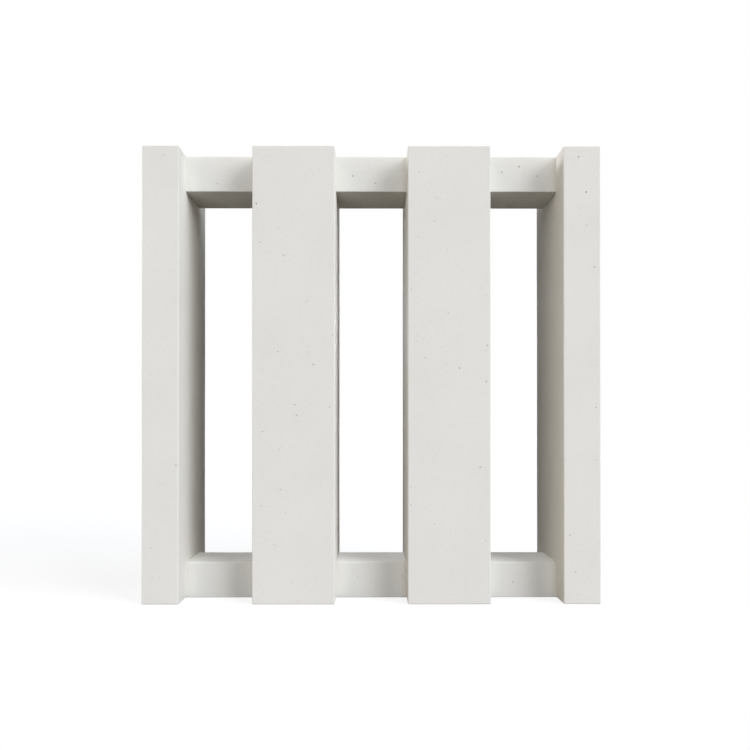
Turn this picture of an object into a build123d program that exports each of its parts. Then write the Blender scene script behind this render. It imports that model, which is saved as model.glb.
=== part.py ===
from build123d import *
import os

# Concrete screen block, cast in one piece: upright bars that run the full depth of the block,
# tied at the top and the bottom by rails that are set back from both faces.
# Millimetres. X runs across the wall, Y through its thickness, Z up.
# The origin is the middle of the bed face, on which the block stands.

block_height = 400.0    # bed face to top face
bar_width = 72.0        # each middle bar
gap_width = 64.0        # clear opening between two bars
joint_width = 8.0       # mortar joint to the next block in the wall
gap_count = 3           # openings across one block

bar_depth = 100.0       # thickness of the wall, and depth of every bar
rail_recess = 25.0      # from either face of the bars back to the rail
rail_height = 32.0      # each rail, flush with the ends of the bars
arris_radius = 0.8      # eased edges left by the mould

# Two end bars and the joint between them show as one more bar in the wall, so the rhythm runs on.
end_bar_width = (bar_width - joint_width) / 2
bar_pitch = bar_width + gap_width
middle_bar_count = gap_count - 1
block_width = 2 * end_bar_width + middle_bar_count * bar_width + gap_count * gap_width
rail_depth = bar_depth - 2 * rail_recess

with BuildPart() as screen_block:
    # Bars: drawn in plan on the bed face and raised to the full height.
    with BuildSketch(Plane.XY):
        with GridLocations(bar_pitch, 0, middle_bar_count, 1):
            Rectangle(bar_width, bar_depth)
        with GridLocations(block_width - end_bar_width, 0, 2, 1):
            Rectangle(end_bar_width, bar_depth)
    extrude(amount=block_height)

    # Rails: drawn on the elevation, flush with both ends of the bars, and centred in the thickness.
    with BuildSketch(Plane.XZ):
        with Locations((0, block_height / 2)):
            with GridLocations(0, block_height - rail_height, 1, 2):
                Rectangle(block_width - end_bar_width, rail_height)
    extrude(amount=rail_depth / 2, both=True)

    # Arrises: every outward edge is eased, while the inner corners between bar and rail stay crisp.
    outward_edges = screen_block.edges().filter_by(Edge.is_interior, reverse=True)
    fillet(outward_edges, radius=arris_radius)

screen_block.part.label = "screen_block"

os.makedirs("parts", exist_ok=True)
export_step(screen_block.part, "parts/screen_block.step")
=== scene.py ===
import math

import bpy
import numpy as np
from bpy.props import FloatProperty, FloatVectorProperty, IntProperty, PointerProperty
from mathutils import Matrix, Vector


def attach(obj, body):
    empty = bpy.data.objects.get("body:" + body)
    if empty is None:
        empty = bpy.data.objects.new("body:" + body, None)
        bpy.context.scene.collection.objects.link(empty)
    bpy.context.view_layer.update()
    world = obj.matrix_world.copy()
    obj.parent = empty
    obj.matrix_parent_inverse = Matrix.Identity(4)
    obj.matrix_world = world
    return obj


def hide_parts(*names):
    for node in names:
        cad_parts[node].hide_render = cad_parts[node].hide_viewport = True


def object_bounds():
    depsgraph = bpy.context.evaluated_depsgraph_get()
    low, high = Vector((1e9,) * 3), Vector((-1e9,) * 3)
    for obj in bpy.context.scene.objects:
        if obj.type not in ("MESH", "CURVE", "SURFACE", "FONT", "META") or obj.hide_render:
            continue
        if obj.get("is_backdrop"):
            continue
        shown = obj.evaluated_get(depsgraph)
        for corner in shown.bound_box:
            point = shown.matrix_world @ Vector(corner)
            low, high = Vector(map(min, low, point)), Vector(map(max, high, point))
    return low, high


bl_info = {
    "name": "Concrete Screen Block",
    "version": (1, 0, 0),
    "blender": (4, 5, 0),
    "location": "View3D > Sidebar > Screen Block",
    "description": "Casts a concrete screen block over its solid and stands it in a plain studio",
    "category": "Add Mesh",
}

# Metres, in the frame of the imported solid: X along the wall, Y through it, Z up, shown face towards -Y.
MM = 0.001
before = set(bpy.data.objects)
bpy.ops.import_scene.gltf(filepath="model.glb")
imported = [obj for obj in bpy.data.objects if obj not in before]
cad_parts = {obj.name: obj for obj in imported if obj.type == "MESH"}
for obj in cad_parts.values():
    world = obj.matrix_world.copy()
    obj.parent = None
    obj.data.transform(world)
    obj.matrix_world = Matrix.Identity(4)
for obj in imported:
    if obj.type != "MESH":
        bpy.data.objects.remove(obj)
CAD_LOW, CAD_HIGH = (np.array(corner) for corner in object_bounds())


def linear(hex_colour):
    """Linear RGBA of an sRGB hex value: a straight line near black, and a power of 2.4 above it"""
    channel = np.array([int(hex_colour[i:i + 2], 16) for i in (0, 2, 4)]) / 255
    curve = np.where(channel <= 0.04045, channel / 12.92, ((channel + 0.055) / 1.055) ** 2.4)
    return (*curve, 1.0)


def length(name, description, millimetres):
    """A size that is given in millimetres and kept in metres"""
    return FloatProperty(name=name, description=description, default=millimetres * MM, unit="LENGTH")


def angle(name, description, degrees):
    """An angle that is given in degrees and kept in radians"""
    return FloatProperty(name=name, description=description, default=math.radians(degrees), unit="ROTATION")


def colour(name, description, hex_colour):
    """A colour that is given as sRGB hex and kept linear"""
    return FloatVectorProperty(name=name, description=description, default=linear(hex_colour),
                               size=4, min=0, max=1, subtype="COLOR")


class ScreenBlockCasting(bpy.types.PropertyGroup):
    """Sizes of the casting"""

    bar_width: length("Bar width", "Each middle bar", 72)
    gap_width: length("Gap width", "Clear opening between two bars", 64)
    rail_height: length("Rail height", "Each rail, flush with the ends of the bars", 32)
    rail_recess: length("Rail recess", "From either face of the bars back to the rail", 25)
    arris_radius: length("Arris radius", "Eased edges left by the mould", 0.65)
    arris_wear: length("Arris wear", "Deepest dent rubbed into an arris", 0.28)
    waviness: length("Waviness", "How far the cast faces wander from flat", 0.06)
    cell: length("Cell", "Cell of the surface grid, with room for one air pit", 5)
    pit_spacing: length("Pit spacing", "Mean distance between air pits", 25)
    small_pit: length("Small pit", "Radius of the smallest air pit", 0.2)
    large_pit: length("Large pit", "Radius of the largest air pit", 0.8)
    seed: IntProperty(name="Seed", description="Which scatter of pits and dents the cast gets", default=7)


class ScreenBlockConcrete(bpy.types.PropertyGroup):
    """Colours and pattern sizes of the concrete"""

    paste: colour("Cement paste", "Pale cement skin of the cast face", "E0DED6")
    damp: colour("Damp cloud", "Clouds where the skin set a little darker", "DDDBD2")
    sand: colour("Sand", "Grains that show through the skin", "B3ADA1")
    # Painted shade and dust: this colour in air pits and pinholes stands for the shade that falls inside
    # them as well as the dust that stays there
    pit_dust_and_shade: colour("Air pit", "Bottom of an air pit, where dust stays", "BBB6AC")
    cloud_size: length("Cloud size", "Width of the faint clouds left by the mould", 60)
    sand_size: length("Sand size", "Grain of the fine sand", 1.1)
    pinhole_spacing: length("Pinhole spacing", "Distance between pinholes too fine to model", 7)
    pinhole_radius: length("Pinhole radius", "Radius of such a pinhole", 0.3)


class ScreenBlockStudio(bpy.types.PropertyGroup):
    """Camera and floor"""

    stand_off: length("Stand-off", "From the block's front face to the camera", 612)
    eye_across: length("Eye across", "Camera to the right of the block's middle", -2.1)
    eye_height: length("Eye height", "Camera above the bed face", 155.5)
    eye_tilt: angle("Eye tilt", "Camera tilted upwards from level", 0.249)
    eye_turn: angle("Eye turn", "Camera turned left from square on", -0.22)
    lens: FloatProperty(name="Lens", description="Focal length for a 36 mm sensor", default=33.72,
                        unit="CAMERA")
    shift_across: FloatProperty(name="Shift across", description="Share of the picture's width",
                                default=0.00435)
    shift_up: FloatProperty(name="Shift up", description="Share of the picture's width", default=0.0636)
    floor_side: length("Floor side", "Side of the square floor", 40000)


# Mesh of the casting

# Arrises, as the mesh turns round them and as they are rubbed.
ARRIS_TURNS = np.radians([45, 22.5, 0])     # where round its quarter turn the mesh has lines
ARRIS_STRIP = 0.5 * MM                      # flat cells beside it, which keep its shading off the face
CREASE_ANGLE = math.radians(35)             # between faces that meet in a crisp edge
CORNER_BLEND = 0.02                         # share of the radius over which two skins join in a corner
DENT_LENGTH = 14 * MM                       # ripple that rubs the dents
DENT_THRESHOLD = 0.6                        # how high its crests are where a dent begins
WANDER_LENGTH = 110 * MM                    # slow waves in the cast faces

# Air pits, with the collar, the waves and the depths as shares of the pit's own radius.
PIT_SIDES = 12                              # points round a ring
PIT_SLOPES = np.radians([0, 32, 62])        # angles t at which rings go down the wall
PIT_DUST_AND_SHADE = np.array([0, 0.35, 0.8, 1])    # share of the pit colour, painted shade and dust, on the collar and on each ring inside it
PIT_COLLAR = 1.4                            # flat circle that joins a pit to its square
PIT_MARGIN = 1.1                            # collars from the middle of a pit to the side of its square
PIT_TWOFOLD, PIT_THREEFOLD = 0.28, 0.08     # waves on the rim
PIT_SHALLOWEST, PIT_DEEPEST = 0.5, 0.9      # least and greatest depth
PIT_SCARCITY = 2.2                          # power of the random draw, which makes large pits rare
PIT_ROOM = 0.8                              # share of a cell that a square needs on both sides for a pit


def grid_lines(planes, eases, cell):
    """Lines along one axis, and for each cell between two lines the stretch of the axis that holds it.

    A stretch runs from one plane to the next. In every stretch the lines are bunched at both ends by the
    easing offsets, where an arris may turn, and the middle has evenly spaced cells.
    """
    lines, stretches = [planes[:1]], []
    for number, (low, high) in enumerate(zip(planes[:-1], planes[1:])):
        first, last = low + eases[-1], high - eases[-1]
        middle = np.linspace(first, last, max(1, round((last - first) / cell)) + 1)
        lines.append(np.concatenate([low + eases[1:-1], middle, high - eases[-2::-1]]))
        stretches += [number] * len(lines[-1])
    return np.concatenate(lines), stretches


def boundary_quads(solid):
    """Squares between a solid cell and an empty one, as grid indices that turn anticlockwise from outside.

    Along each axis a square lies where the cells change from solid to empty, and then it faces up the axis,
    or from empty to solid, and then it faces down the axis.
    """
    quads, normals = [], []
    for axis in range(3):
        turned = np.moveaxis(solid, (axis, (axis + 1) % 3, (axis + 2) % 3), (0, 1, 2)).astype(int)
        change = np.diff(turned, axis=0, prepend=0, append=0)
        for facing in (1, -1):
            plane, across, along = np.nonzero(change == -facing)
            ring = [(0, 0), (1, 0), (1, 1), (0, 1)][::facing]
            corners = [np.stack([plane, across + u, along + v], axis=1) for u, v in ring]
            quads.append(np.roll(np.stack(corners, axis=1), axis, axis=2))
            normals.append(np.tile(facing * np.eye(3)[axis], (len(plane), 1)))
    return np.concatenate(quads), np.concatenate(normals)


def ripple(points, wavelength, seed, waves=9, shortest=0.7, longest=1.4):
    """Smooth noise, mostly between -1 and 1: a sum of plane sine waves in random directions.

    Each is between the shortest and the longest share of the wavelength, and the sum is divided by the
    square root of their number.
    """
    random = np.random.default_rng(seed)
    direction = random.normal(size=(waves, 3))
    direction /= np.linalg.norm(direction, axis=1, keepdims=True)
    pace = 2 * math.pi / (wavelength * random.uniform(shortest, longest, waves))
    phase = random.uniform(0, 2 * math.pi, waves)
    return np.sin(points @ (direction * pace[:, None]).T + phase).sum(axis=1) / math.sqrt(waves)


def ease_arrises(points, low, high, radius, wear, seed):
    """Rounds the outward edges of a block made of boxes, and leaves faces and inner corners as they are.

    Every box is shrunk by the radius to a core. A point goes to the nearest core point plus one radius in
    the direction from there to where it was. Where two cores are equally near, the two places are averaged.
    Along an arris the radius is shortened by the crests of a ripple, which are the rubbed dents.
    """
    nearest = np.clip(points[:, None], low + radius, high - radius)
    outward = points[:, None] - nearest
    distance = np.linalg.norm(outward, axis=2)
    least = distance.min(axis=1)
    turn = np.clip((least / radius - 1) / (math.sqrt(2) - 1), 0, 1)
    crest = np.clip(ripple(points, DENT_LENGTH, seed) - DENT_THRESHOLD, 0, 1)
    reach = radius - wear * turn * crest
    place = nearest + reach[:, None, None] * outward / np.maximum(distance, radius / 2)[..., None]
    share = np.exp((least[:, None] - distance) / (CORNER_BLEND * radius))
    return (share[..., None] * place).sum(axis=1) / share.sum(axis=1, keepdims=True)


def pit_bowls(corners, normals, radius, random):
    """Air pits, one in the middle part of each given square: half a squashed bubble under an uneven rim.

    With t from 0 at the rim to a quarter turn at the bottom, and a round the pit, a point lies
    rim(a) * cos(t) from the pit's middle and depth * sin(t) below the face. rim(a) is the radius with a
    two-fold and a three-fold wave on it. Outside the rim a flat true circle joins the pit to its square.
    """
    count = len(radius)
    across, along = corners[:, 1] - corners[:, 0], corners[:, 3] - corners[:, 0]
    width, height = np.linalg.norm(across, axis=1), np.linalg.norm(along, axis=1)
    across, along = across / width[:, None], along / height[:, None]
    collar = PIT_COLLAR * radius
    slack = np.stack([width, height], axis=1) / 2 - PIT_MARGIN * collar[:, None]
    shift = random.uniform(-1, 1, (count, 2)) * slack
    middle = corners.mean(axis=1) + shift[:, :1] * across + shift[:, 1:] * along

    turn = math.pi + np.linspace(0, 2 * math.pi, PIT_SIDES, endpoint=False)
    phase = random.uniform(0, 2 * math.pi, (2, count, 1))
    waves = PIT_TWOFOLD * np.cos(2 * turn + phase[0]) + PIT_THREEFOLD * np.cos(3 * turn + phase[1])
    rim = radius[:, None] * (1 + waves)
    depth = radius * random.uniform(PIT_SHALLOWEST, PIT_DEEPEST, count)
    out = np.concatenate([np.broadcast_to(collar[:, None, None], (count, 1, PIT_SIDES)),
                          rim[:, None] * np.cos(PIT_SLOPES)[:, None]], axis=1)
    sink = depth[:, None] * np.append(0, np.sin(PIT_SLOPES))
    rings = (middle[:, None, None]
             + (out * np.cos(turn))[..., None] * across[:, None, None]
             + (out * np.sin(turn))[..., None] * along[:, None, None]
             - sink[:, :, None, None] * normals[:, None, None])
    return rings, middle - depth[:, None] * normals


def pit_faces(squares, first):
    """Faces that fit one bowl into each square: corner fans, side triangles, walls and the bottom's fan.

    The rings' points are numbered from first on, bowl by bowl and from the outside in, and the bottoms
    follow. A ring starts where it faces the middle of the side before corner 0, so that a quarter of it
    faces each corner.
    """
    count, rings = len(squares), len(PIT_DUST_AND_SHADE)
    ring = first + np.arange(count * rings * PIT_SIDES).reshape(count, rings, PIT_SIDES)
    bottom = np.broadcast_to(first + ring.size + np.arange(count)[:, None], (count, PIT_SIDES))
    onward = np.roll(ring, -1, axis=2)
    quarter = PIT_SIDES // 4
    fans = np.stack([np.repeat(squares, quarter, axis=1), onward[:, 0], ring[:, 0]], axis=2)
    sides = np.stack([squares, np.roll(squares, -1, axis=1), onward[:, 0, quarter - 1::quarter]], axis=2)
    walls = np.stack([ring[:, :-1], onward[:, :-1], onward[:, 1:], ring[:, 1:]], axis=3)
    floors = np.stack([ring[:, -1], onward[:, -1], bottom], axis=2)
    return walls.reshape(-1, 4), np.concatenate([part.reshape(-1, 3) for part in (fans, sides, floors)])


def cast_skin(sizes):
    """Vertices and faces of the whole casting, as one closed skin, and each vertex's share of painted shade
    and dust in the pits.

    The skin is the boundary of a grid of cells that are solid in the bars and in the rails. Its arrises are
    eased, air pits are sunk into some of its squares, and slow ripples carry all of it a little off flat.
    Two middle bars and three gaps leave the rest of the width to the two end bars.
    """
    width, depth, height = CAD_HIGH - CAD_LOW
    bar, gap, rail, recess = sizes.bar_width, sizes.gap_width, sizes.rail_height, sizes.rail_recess
    end_bar = (width - 2 * bar - 3 * gap) / 2
    planes = (CAD_LOW[0] + np.cumsum([0, end_bar, gap, bar, gap, bar, gap, end_bar]),
              CAD_LOW[1] + np.array([0, recess, depth - recess, depth]),
              CAD_LOW[2] + np.array([0, rail, height - rail, height]))
    radius = sizes.arris_radius
    eases = np.append(radius * (1 - np.tan(ARRIS_TURNS)), radius + ARRIS_STRIP)
    lines, stretches = zip(*(grid_lines(along, eases, sizes.cell) for along in planes))

    across, through, upward = (np.arange(len(along) - 1) for along in planes)
    is_bar, is_core, is_rail = across % 2 == 0, through == 1, upward % 2 == 0
    solid = is_bar[:, None, None] | (is_core[:, None] & is_rail)
    quads, normals = boundary_quads(solid[np.ix_(*stretches)])
    shape = [len(along) for along in lines]
    used, quads = np.unique(np.ravel_multi_index(quads.reshape(-1, 3).T, shape), return_inverse=True)
    quads = quads.reshape(-1, 4)
    flat = np.stack([along[index] for along, index in zip(lines, np.unravel_index(used, shape))], axis=1)

    bars = [((planes[0][i], CAD_LOW[1], CAD_LOW[2]), (planes[0][i + 1], CAD_HIGH[1], CAD_HIGH[2]))
            for i in np.flatnonzero(is_bar)]
    rails = [((CAD_LOW[0], planes[1][1], planes[2][i]), (CAD_HIGH[0], planes[1][2], planes[2][i + 1]))
             for i in np.flatnonzero(is_rail)]
    low, high = np.array(bars + rails).transpose(1, 0, 2)
    eased = ease_arrises(flat, low, high, radius, sizes.arris_wear, sizes.seed)

    random = np.random.default_rng(sizes.seed)
    corners = flat[quads]
    reach = np.linalg.norm(corners[:, [1, 3]] - corners[:, :1], axis=2)
    chance = (reach.min(axis=1) > PIT_ROOM * sizes.cell) * reach.prod(axis=1) / sizes.pit_spacing ** 2
    pitted = random.random(len(quads)) < chance
    growth = random.random(pitted.sum()) ** PIT_SCARCITY
    pit_radius = sizes.small_pit + (sizes.large_pit - sizes.small_pit) * growth
    rings, bottoms = pit_bowls(corners[pitted], normals[pitted], pit_radius, random)
    walls, triangles = pit_faces(quads[pitted], len(eased))

    vertices = np.concatenate([eased, rings.reshape(-1, 3), bottoms])
    wander = np.stack([ripple(vertices, WANDER_LENGTH, sizes.seed + axis) for axis in (1, 2, 3)], axis=1)
    # Painted shade and dust: none on the faces, rising ring by ring to full at the bottom of each pit
    in_pits = np.tile(np.repeat(PIT_DUST_AND_SHADE, PIT_SIDES), len(bottoms))
    pit_dust_and_shade = np.concatenate([np.zeros(len(eased)), in_pits, np.ones(len(bottoms))])
    faces = quads[~pitted].tolist() + walls.tolist() + triangles.tolist()
    return vertices + sizes.waviness * wander, faces, pit_dust_and_shade


# Materials

def add_node(tree, kind, inputs=None, **settings):
    """Adds one node with its settings, fills or links its inputs, and returns its outputs by name"""
    node = tree.nodes.new(kind)
    for name, value in settings.items():
        setattr(node, name, value)
    sockets = {socket.name: socket for socket in node.inputs if socket.enabled}
    for key, value in (inputs or {}).items():
        socket = node.inputs[key] if isinstance(key, int) else sockets[key]
        if isinstance(value, bpy.types.NodeSocket):
            tree.links.new(value, socket)
        else:
            socket.default_value = value
    return {socket.name: socket for socket in node.outputs if socket.enabled}


def empty_tree(owner):
    """The node tree of a material or a world, with nothing in it"""
    owner.use_nodes = True
    owner.node_tree.nodes.clear()
    return owner.node_tree


def smooth_cast_concrete(look):
    """Pale cement and fine sand, cast against a smooth mould.

    The skin is nearly white and quite matt. Faint clouds show where it set wetter, single sand grains give
    it a dry speckle, and pinholes and air pits are dotted with painted shade and dust, darker where they go
    deep.
    """
    material = bpy.data.materials.new("smooth_cast_concrete")
    tree = empty_tree(material)
    place = add_node(tree, "ShaderNodeTexCoord")["Object"]

    # Clouds: two faint tones of cement that blend into one another.
    cloud = add_node(tree, "ShaderNodeTexNoise",
                     {"Vector": place, "Scale": 1 / look.cloud_size,
                      "Detail": 4.0, "Roughness": 0.55})["Fac"]
    wetness = add_node(tree, "ShaderNodeMapRange",
                       {"Value": cloud, "From Min": 0.3, "From Max": 0.7})["Result"]
    skin = add_node(tree, "ShaderNodeMix", {"Factor": wetness, "A": look.paste, "B": look.damp},
                    data_type="RGBA")["Result"]

    # Sand: one cell for each grain, of which the darkest show. Real fines are half this size and too fine to
    # show, so they are drawn coarser.
    grain = add_node(tree, "ShaderNodeTexVoronoi", {"Vector": place, "Scale": 1 / look.sand_size})["Color"]
    tone = add_node(tree, "ShaderNodeSeparateColor", {"Color": grain})["Red"]
    shows = add_node(tree, "ShaderNodeMapRange", {"Value": tone, "From Min": 0.7, "To Max": 0.08})["Result"]
    sanded = add_node(tree, "ShaderNodeMix", {"Factor": shows, "A": skin, "B": look.sand},
                      data_type="RGBA")["Result"]

    # Painted shade and dust in pinholes, a dot at the middle of each cell, and in air pits, the share that
    # the mesh carries ring by ring down each pit.
    pinhole = add_node(tree, "ShaderNodeTexVoronoi",
                       {"Vector": place, "Scale": 1 / look.pinhole_spacing})["Distance"]
    edge = look.pinhole_radius / look.pinhole_spacing
    dot = add_node(tree, "ShaderNodeMapRange",
                   {"Value": pinhole, "From Min": edge / 2, "From Max": edge,
                    "To Min": 0.6, "To Max": 0.0})["Result"]
    depth = add_node(tree, "ShaderNodeAttribute", attribute_name="pit_dust_and_shade")["Fac"]
    dust_and_shade = add_node(tree, "ShaderNodeMath", {0: dot, 1: depth}, operation="MAXIMUM")["Value"]
    # Painted shade and dust: pits and pinholes are mixed towards the darker pit colour, for the shade inside
    # them and the dust that stays there
    dotted = add_node(tree, "ShaderNodeMix", {"Factor": dust_and_shade, "A": sanded, "B": look.pit_dust_and_shade},
                      data_type="RGBA")["Result"]

    # Matt, and duller still where it set wetter. The grains stand about a hundredth of a millimetre proud.
    roughness = add_node(tree, "ShaderNodeMapRange",
                         {"Value": wetness, "To Min": 0.82, "To Max": 0.92})["Result"]
    height = add_node(tree, "ShaderNodeMath", {0: tone, 1: dust_and_shade}, operation="SUBTRACT")["Value"]
    bump = add_node(tree, "ShaderNodeBump",
                    {"Height": height, "Strength": 0.5, "Distance": 0.015 * MM})["Normal"]
    concrete = add_node(tree, "ShaderNodeBsdfPrincipled",
                        {"Base Color": dotted, "Roughness": roughness, "IOR": 1.5, "Specular IOR Level": 0.3,
                         "Normal": bump})["BSDF"]
    add_node(tree, "ShaderNodeOutputMaterial", {"Surface": concrete})
    return material


def ray_to_the_eye(tree):
    """1 on rays that show a thing to the eye, straight, in a gloss or through glass, and 0 on all others"""
    rays = add_node(tree, "ShaderNodeLightPath")
    either = add_node(tree, "ShaderNodeMath", {0: rays["Is Camera Ray"], 1: rays["Is Glossy Ray"]},
                      operation="MAXIMUM")["Value"]
    return add_node(tree, "ShaderNodeMath", {0: either, 1: rays["Is Transmission Ray"]},
                    operation="MAXIMUM")["Value"]


def studio_floor_paint():
    """Matt white floor paint, lit until it looks as white as the surround, apart from a faint soft shadow.

    The glow is for the eye only. The light that the paint sends back up to the block is that of a dull warm
    floor, so that undersides stay dark and warm.
    """
    material = bpy.data.materials.new("studio_floor_paint")
    tree = empty_tree(material)
    glow = add_node(tree, "ShaderNodeEmission", {"Color": linear("FFFFFF"), "Strength": 0.82})["Emission"]
    sheen = add_node(tree, "ShaderNodeBsdfDiffuse", {"Color": linear("7C7C7C")})["BSDF"]
    seen = add_node(tree, "ShaderNodeAddShader", {0: glow, 1: sheen})["Shader"]
    bounce = add_node(tree, "ShaderNodeBsdfDiffuse", {"Color": linear("2C1F12")})["BSDF"]
    paint = add_node(tree, "ShaderNodeMixShader", {0: ray_to_the_eye(tree), 1: bounce, 2: seen})["Shader"]
    add_node(tree, "ShaderNodeOutputMaterial", {"Surface": paint})
    material.cycles.emission_sampling = "NONE"
    return material


# Studio

# Soft lamps, far off: bearing to the right of straight ahead of the front face, height above the horizon and
# angle that the lamp fills, all in degrees, then strength and colour.
LAMPS = {
    "key": (50, 25, 30, 1.69, "FCF9FC"),
    "high_key": (70, 50, 40, 1.64, "E5F3FF"),
    "low_key": (60, 5, 30, 0.95, "E9EDFF"),
    "front": (0, 15, 30, 1.22, "EDF4FF"),
    "fill": (-60, 10, 60, 1.5, "FFF2E6"),
    "side": (-90, 10, 10, 1.6, "EDF2FF"),
    "back": (180, 8, 6, 2.6, "F6F7FF"),
}
LAMP_DISTANCE = 2.0    # metres to where a lamp is drawn, which its light doesn't depend on


def hang_lamp(name, bearing, height, spread, strength, hex_colour):
    """A soft lamp so far off that its light comes from one direction all over the block"""
    lamp = bpy.data.lights.new(name, "SUN")
    lamp.angle, lamp.energy, lamp.color = math.radians(spread), strength, linear(hex_colour)[:3]
    turn, rise = math.radians(bearing), math.radians(height)
    towards = Vector((math.sin(turn) * math.cos(rise), -math.cos(turn) * math.cos(rise), math.sin(rise)))
    hung = bpy.data.objects.new(name, lamp)
    hung.location = LAMP_DISTANCE * towards
    hung.rotation_euler = towards.to_track_quat("Z", "Y").to_euler()
    bpy.context.scene.collection.objects.link(hung)


def surround():
    """White to the eye all round, and a weak even light on everything else"""
    world = bpy.data.worlds.new("white_surround")
    tree = empty_tree(world)
    ambient = add_node(tree, "ShaderNodeBackground",
                       {"Color": linear("FFDCAE"), "Strength": 0.015})["Background"]
    white = add_node(tree, "ShaderNodeBackground",
                     {"Color": linear("FFFFFF"), "Strength": 1.0})["Background"]
    both = add_node(tree, "ShaderNodeMixShader", {0: ray_to_the_eye(tree), 1: ambient, 2: white})["Shader"]
    add_node(tree, "ShaderNodeOutputWorld", {"Surface": both})
    bpy.context.scene.world = world


def new_object(name, vertices, faces, material):
    """A mesh object at the origin, with its place in its mesh"""
    mesh = bpy.data.meshes.new(name)
    mesh.from_pydata(vertices, [], faces)
    mesh.materials.append(material)
    piece = bpy.data.objects.new(name, mesh)
    bpy.context.scene.collection.objects.link(piece)
    return piece


class SCREENBLOCK_OT_cast(bpy.types.Operator):
    """Cast the screen block in one piece, with its eased arrises and air pits"""

    bl_idname = "screen_block.cast"
    bl_label = "Cast the block"
    bl_options = {"REGISTER", "UNDO"}

    def execute(self, context):
        vertices, faces, pit_dust_and_shade = cast_skin(context.scene.screen_block_casting)
        concrete = smooth_cast_concrete(context.scene.screen_block_concrete)
        block = new_object("cast_screen_block", vertices, faces, concrete)
        block.data.shade_smooth()
        block.data.set_sharp_from_angle(angle=CREASE_ANGLE)
        # Each vertex's share of painted shade and dust in the pits
        block.data.attributes.new("pit_dust_and_shade", "FLOAT", "POINT").data.foreach_set("value", pit_dust_and_shade)
        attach(block, "root")
        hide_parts("screen_block")
        return {"FINISHED"}


class SCREENBLOCK_OT_studio(bpy.types.Operator):
    """Lay the pale floor, hang the soft lamps and set the camera"""

    bl_idname = "screen_block.studio"
    bl_label = "Set the studio"
    bl_options = {"REGISTER", "UNDO"}

    def execute(self, context):
        studio = context.scene.screen_block_studio
        half = studio.floor_side / 2
        square = [(-half, -half, 0), (half, -half, 0), (half, half, 0), (-half, half, 0)]
        new_object("studio_floor", square, [(0, 1, 2, 3)], studio_floor_paint())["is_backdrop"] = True

        for name, lamp in LAMPS.items():
            hang_lamp(name, *lamp)
        surround()

        camera = bpy.data.objects.new("camera", bpy.data.cameras.new("camera"))
        camera.location = (studio.eye_across, CAD_LOW[1] - studio.stand_off, studio.eye_height)
        camera.rotation_euler = (math.pi / 2 + studio.eye_tilt, 0, studio.eye_turn)
        camera.data.lens = studio.lens
        camera.data.shift_x, camera.data.shift_y = studio.shift_across, studio.shift_up
        context.scene.collection.objects.link(camera)
        context.scene.camera = camera
        context.scene.view_settings.view_transform = "Standard"
        return {"FINISHED"}


class SCREENBLOCK_PT_sidebar(bpy.types.Panel):
    """Casts the block and sets the studio"""

    bl_idname = "SCREENBLOCK_PT_sidebar"
    bl_label = "Screen Block"
    bl_space_type = "VIEW_3D"
    bl_region_type = "UI"
    bl_category = "Screen Block"

    def draw(self, context):
        scene = context.scene
        for title, sizes, operator in (("Casting", scene.screen_block_casting, "screen_block.cast"),
                                       ("Concrete", scene.screen_block_concrete, None),
                                       ("Studio", scene.screen_block_studio, "screen_block.studio")):
            box = self.layout.box()
            box.label(text=title)
            for name in sizes.__annotations__:
                box.prop(sizes, name)
            if operator:
                box.operator(operator)


CLASSES = (ScreenBlockCasting, ScreenBlockConcrete, ScreenBlockStudio,
           SCREENBLOCK_OT_cast, SCREENBLOCK_OT_studio, SCREENBLOCK_PT_sidebar)
GROUPS = {"screen_block_casting": ScreenBlockCasting, "screen_block_concrete": ScreenBlockConcrete,
          "screen_block_studio": ScreenBlockStudio}


def register():
    for kind in CLASSES:
        bpy.utils.register_class(kind)
    for name, group in GROUPS.items():
        setattr(bpy.types.Scene, name, PointerProperty(type=group))


def unregister():
    for name in GROUPS:
        delattr(bpy.types.Scene, name)
    for kind in reversed(CLASSES):
        bpy.utils.unregister_class(kind)


def main():
    register()
    bpy.ops.screen_block.cast()
    bpy.ops.screen_block.studio()


if __name__ == "__main__":
    main()
